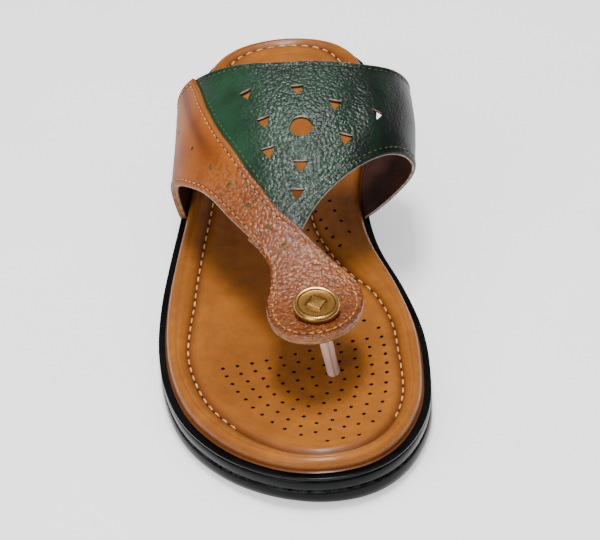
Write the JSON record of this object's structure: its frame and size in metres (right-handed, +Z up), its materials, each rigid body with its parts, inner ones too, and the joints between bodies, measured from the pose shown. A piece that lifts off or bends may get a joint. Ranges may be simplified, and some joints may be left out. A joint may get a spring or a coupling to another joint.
{
  "type": "platform sandal",
  "caption": "Women's toe-post platform sandal: black wedge sole, tan dished footbed, green leather instep band with cut-outs, tan overlay and a metal badge on the tab.",
  "frame": {"origin": "middle of the box's underside, on the floor", "axes": "+Y points to the heel, -Y to the toe, +X to the medial side of this right sandal, +Z up"},
  "size_m": [0.0988, 0.251, 0.0855],
  "materials": {
    "black_polyurethane": "glossy moulded polyurethane foam",
    "tan_footbed_leather": "smooth semi-gloss caramel leather, padded",
    "green_leather": "pebbled dark green leather with a brown lining",
    "tan_strap_leather": "smooth semi-gloss caramel leather",
    "pale_post_leather": "glossy pinkish tan leather",
    "badge_brass": "satin antique gold plating"
  },
  "bodies": {
    "root": {"outsole": "black_polyurethane", "footbed": "tan_footbed_leather", "upper": "green_leather", "strap_overlay": "tan_strap_leather", "toe_post": "pale_post_leather", "ornament": "badge_brass"}
  },
  "joints": []
}
